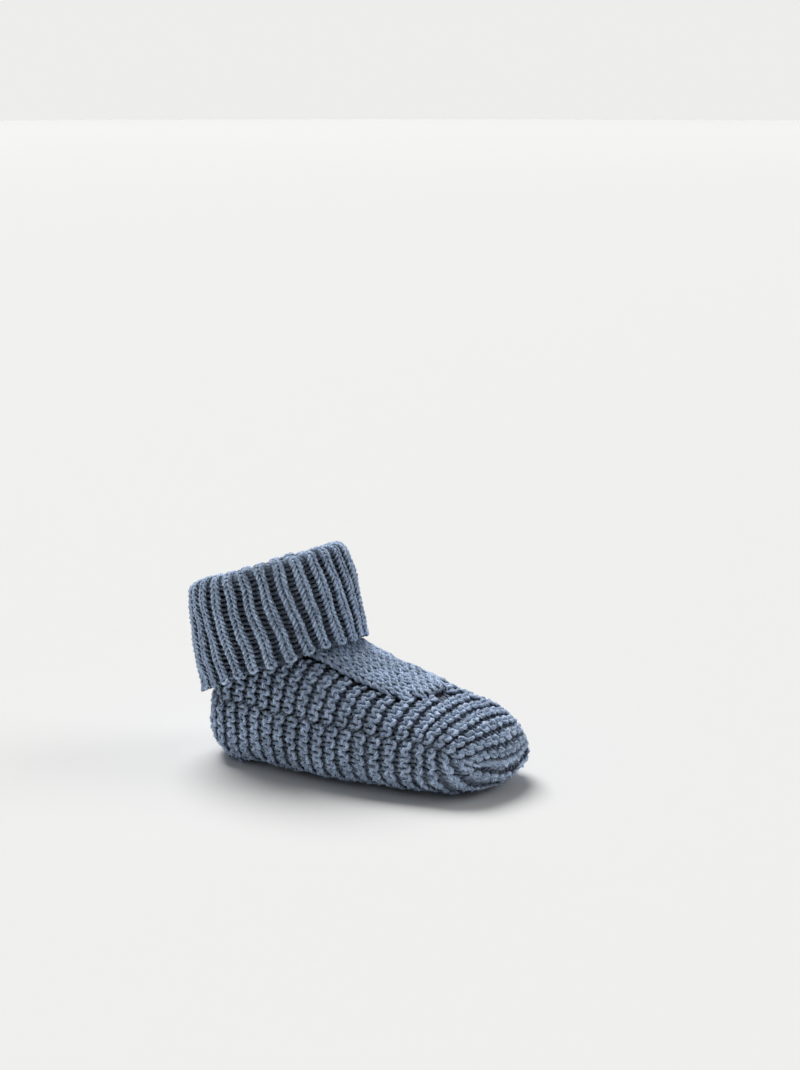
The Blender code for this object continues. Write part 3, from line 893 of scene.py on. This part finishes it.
def tongue_outline(depth):
    """Points and normals round the tongue, from the ankle on one side to the other."""
    side_points = 60
    turn = np.linspace(0, math.pi, 200)
    side = np.linspace(0.0420, TONGUE_ROUND_FROM, side_points)
    round_x = TONGUE_ROUND_FROM + (TONGUE_TIP - TONGUE_ROUND_FROM) * np.sin(turn)
    x = np.concatenate([side, round_x, side[::-1]])
    straight_y = np.full(side_points, TONGUE_HALF_WIDTH)
    y = np.concatenate([-straight_y, -TONGUE_HALF_WIDTH * np.cos(turn), straight_y])
    waist, top, wide = along(WAIST, x), along(TOP, x), along(HALF_WIDTH, x)
    z = waist + (top - waist) * (1 - (np.abs(y) / wide) ** ROUND_TOP) ** (1 / ROUND_TOP)
    slope = (along(TOP, x + 0.0005) - along(TOP, x - 0.0005)) / 0.001
    rounded = (1 - (np.abs(y) / wide) ** ROUND_TOP) ** (1 / ROUND_TOP - 1)
    lean = (top - waist) * rounded * (np.abs(y) / wide) ** (ROUND_TOP - 1) / wide * np.sign(y)
    normal = np.stack([-slope, lean, np.ones_like(x)], -1)
    normal /= np.linalg.norm(normal, axis=1, keepdims=True)
    return np.stack([x - CENTRE_X, y, z], -1) - normal * depth, normal


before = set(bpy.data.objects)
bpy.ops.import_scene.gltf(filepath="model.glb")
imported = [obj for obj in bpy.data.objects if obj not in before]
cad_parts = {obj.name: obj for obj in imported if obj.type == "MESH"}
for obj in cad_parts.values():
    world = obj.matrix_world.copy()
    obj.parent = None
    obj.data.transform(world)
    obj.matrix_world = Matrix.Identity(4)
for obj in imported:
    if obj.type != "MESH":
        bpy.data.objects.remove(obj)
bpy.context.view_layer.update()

blue = wool("heathered_blue_wool", light=(0.59, 0.71, 0.89), middle=(0.365, 0.465, 0.63),
            dark=(0.105, 0.15, 0.24))
# Near-black wool for the cores: painted shade, seen through the gaps between the strands.
painted_shade_wool = wool("painted_shade_core_wool", light=(0.05, 0.065, 0.09), middle=(0.03, 0.04, 0.06), dark=(0.012, 0.017, 0.03))

upper_surface = foot_patch(down=False)
sole_surface = foot_patch(down=True)
knit_upper(upper_surface)
knit_sole(sole_surface)
under_surface, under_rows = under_heel_patch()
for j in range(under_rows):
    garter("sole_heel", under_surface, j + 0.5, 0.0, row_signs(j + 1 - under_rows))
tongue_surface, tongue_rows = tongue_patch()
knit_tongue(tongue_surface, tongue_rows)
cuff_surface, crest_row, cuff_rows = cuff_patch()
knit_cuff(cuff_surface, crest_row, cuff_rows)
cast_off(cuff_surface, cuff_rows - 0.5)

# A negative out gives seam yarn deeper painted shade.
for share in (0.0, 1.0):
    seam("sole_seam", *join_line(upper_surface, share), ROW, 0.0010, 0.0011, radius=0.0006, out=-0.0003)
toe_line = upper_surface.at(np.full(200, FOOT_END - 0.2), np.linspace(0.12, 0.88, 200))
seam("sole_seam", *toe_line, ROW, 0.0013, 0.0018)
seam("instep_seam", *tongue_outline(0.0006), 0.0022, 0.0012, 0.0020, out=-0.0004)
ring = np.linspace(-math.pi, math.pi, 200)
ankle_ring = ankle_point(ring, 0.0) - TO_STATIONS
ankle_out = np.stack([np.cos(ring), np.sin(ring), 0 * ring], -1)
seam("ankle_seam", ankle_ring, ankle_out, 0.0024, 0.0014, 0.0010)
heel_height = np.linspace(0.003, 0.027, 120)
middle = np.zeros(len(heel_height))
heel_axis = middle + HEEL_AXIS
back = solve(lambda d: fullness(heel_axis, d, heel_height, HEEL_REACH) < 1, middle, middle + HEEL_SEARCH)
heel_line = np.stack([HEEL_AXIS - back - CENTRE_X, middle, heel_height], -1)
heel_line = heel_line[above_ankle(heel_line + TO_STATIONS) < -0.0005]
heel_out = np.tile([-1.0, 0.0, 0.0], (len(heel_line), 1))
seam("heel_seam", heel_line, heel_out, ROW, 0.0016, 0.0008)
leg_rows = np.linspace(1.0, crest_row - 1, 120)
seam("leg_seam", *cuff_surface.at(leg_rows, middle), RIB_ROW * 2, 0.0014, 0.0013)
turned_rows = np.linspace(crest_row + 1, cuff_rows - 1.5, 120)
seam("cuff_seam", *cuff_surface.at(turned_rows, middle), RIB_ROW * 2, 0.0014, 0.0013)

PIECES = {
    "upper": ("upper_garter_knit", "foot", "garter_knit", ["upper_panel"]),
    "toe": ("toe_garter_knit", "foot", "garter_knit", []),
    "sole_heel": ("heel_garter_knit", "foot", "garter_knit", []),
    "sole_middle": ("sole_garter_knit", "foot", "garter_knit", ["sole_panel"]),
    "sole_toe": ("sole_front_garter_knit", "foot", "garter_knit", []),
    "tongue": ("instep_stocking_stitch", "foot", "stocking_stitch_knit", ["instep_panel"]),
    "leg": ("leg_rib_knit", "foot", "rib_knit", ["leg_rib"]),
    "turnover": ("cuff_rib_knit", "cuff", "rib_knit", ["cuff_turnover"]),
    "turnover_low": ("cuff_lower_rib_knit", "cuff", "rib_knit", []),
    "hem": ("cuff_cast_off_chain", "cuff", "rib_knit", ["cuff_cast_off_edge"]),
    "sole_seam": ("sole_seam_stitches", "foot", "seam_yarn", ["sole_seam_yarn"]),
    "instep_seam": ("instep_seam_stitches", "foot", "seam_yarn", ["instep_seam_yarn"]),
    "ankle_seam": ("ankle_seam_stitches", "foot", "seam_yarn", ["ankle_seam_yarn"]),
    "heel_seam": ("heel_seam_stitches", "foot", "seam_yarn", ["heel_seam_yarn"]),
    "leg_seam": ("leg_seam_stitches", "foot", "seam_yarn", ["leg_seam_yarn"]),
    "cuff_seam": ("cuff_seam_stitches", "cuff", "seam_yarn", ["cuff_seam_yarn"]),
}
for key, (name, body, slot, nodes) in PIECES.items():
    mesh = tube_mesh(name, strands[key], LEG_SIDES if key == "leg" else SIDES)
    add_piece(name, mesh, blue, body, slot, *nodes)

garter_core = GARTER_INSET + CORE_DEPTH
foot_rows = (-HEEL_ROWS, FOOT_END)
core("upper_fabric", upper_surface, garter_core, "foot", "garter_knit", foot_rows, in_upper)
core("sole_fabric", sole_surface, garter_core, "foot", "garter_knit", foot_rows, on_wall)
core("under_heel_fabric", under_surface, garter_core, "foot", "garter_knit", (0, under_rows))
core("instep_fabric", tongue_surface, TONGUE_INSET + CORE_DEPTH, "foot", "stocking_stitch_knit",
     (0, tongue_rows), under_leg)
core("leg_fabric", cuff_surface, lambda v: leg_inset(crest_row - v), "foot", "rib_knit", (0, crest_row - 2))
core("cuff_fabric", cuff_surface, RIB_INSET + CUFF_CORE_DEPTH, "cuff", "rib_knit",
     (crest_row + 2, cuff_rows - 0.8))

# Studio ---------------------------------------------------------------------------------------------------

camera_data = bpy.data.cameras.new("camera")
camera_data.lens = 85
camera_data.sensor_width = 36
camera_data.clip_start = 0.01
camera = bpy.data.objects.new("camera", camera_data)
bpy.context.scene.collection.objects.link(camera)
camera.location = (0.46345 - CENTRE_X, -0.6100, 0.21829)
camera.rotation_euler = (math.radians(78.647), 0.0, math.radians(32.994))
bpy.context.scene.camera = camera


def plain(name, colour, roughness):
    material = bpy.data.materials.new(name)
    material.use_nodes = True
    shader = material.node_tree.nodes["Principled BSDF"]
    shader.inputs["Base Color"].default_value = (*colour, 1)
    shader.inputs["Roughness"].default_value = roughness
    return material


floor_mesh = bpy.data.meshes.new("floor")
floor_mesh.from_pydata([(-40, -10, 0), (40, -10, 0), (40, 60, 0), (-40, 60, 0)], [], [(0, 1, 2, 3)])
floor_mesh.materials.append(plain("pale_table", (0.86, 0.86, 0.85), 0.9))
floor = bpy.data.objects.new("floor", floor_mesh)
bpy.context.scene.collection.objects.link(floor)

BACKDROP_RADIUS, BACKDROP_HEIGHT, BACKDROP_PANELS = 5.5, 1.5, 96
turn = np.linspace(0, 2 * math.pi, BACKDROP_PANELS + 1)[:-1]
circle = np.stack([BACKDROP_RADIUS * np.cos(turn), BACKDROP_RADIUS * np.sin(turn)], -1)
corners = [(x, y, z) for z in (0.0, BACKDROP_HEIGHT) for x, y in circle]
panels = []
for i in range(BACKDROP_PANELS):
    j = (i + 1) % BACKDROP_PANELS
    panels.append((i, j, j + BACKDROP_PANELS, i + BACKDROP_PANELS))
backdrop_mesh = bpy.data.meshes.new("backdrop")
backdrop_mesh.from_pydata(corners, [], panels)
glow = plain("glowing_backdrop", (0, 0, 0), 1.0)
glow_shader = glow.node_tree.nodes["Principled BSDF"]
glow_shader.inputs["Emission Color"].default_value = (0.84, 0.84, 0.83, 1)
glow_shader.inputs["Emission Strength"].default_value = 1.0
backdrop_mesh.materials.append(glow)
backdrop = bpy.data.objects.new("backdrop", backdrop_mesh)
bpy.context.scene.collection.objects.link(backdrop)
backdrop.visible_shadow = False
backdrop.visible_diffuse = False

world = bpy.data.worlds.new("studio")
bpy.context.scene.world = world
world.use_nodes = True
background = world.node_tree.nodes["Background"]
background.inputs["Color"].default_value = (1, 1, 1, 1)
background.inputs["Strength"].default_value = 0.10


def sun(name, direction, power, spread):
    """A large soft lamp shining from a direction."""
    data = bpy.data.lights.new(name, "SUN")
    data.energy = power
    data.angle = math.radians(spread)
    lamp = bpy.data.objects.new(name, data)
    bpy.context.scene.collection.objects.link(lamp)
    x, y, z = direction
    lamp.location = direction
    lamp.rotation_euler = (math.atan2(math.hypot(x, y), z), 0, math.atan2(y, x) + QUARTER)


bpy.context.scene.view_settings.view_transform = "Standard"
sun("key", (-0.55, 0.40, 1.0), 2.85, 34)
sun("front", (-0.5, -0.8, 0.8), 0.26, 90)
sun("window", (0.9, 0.85, 0.7), 0.6, 40)
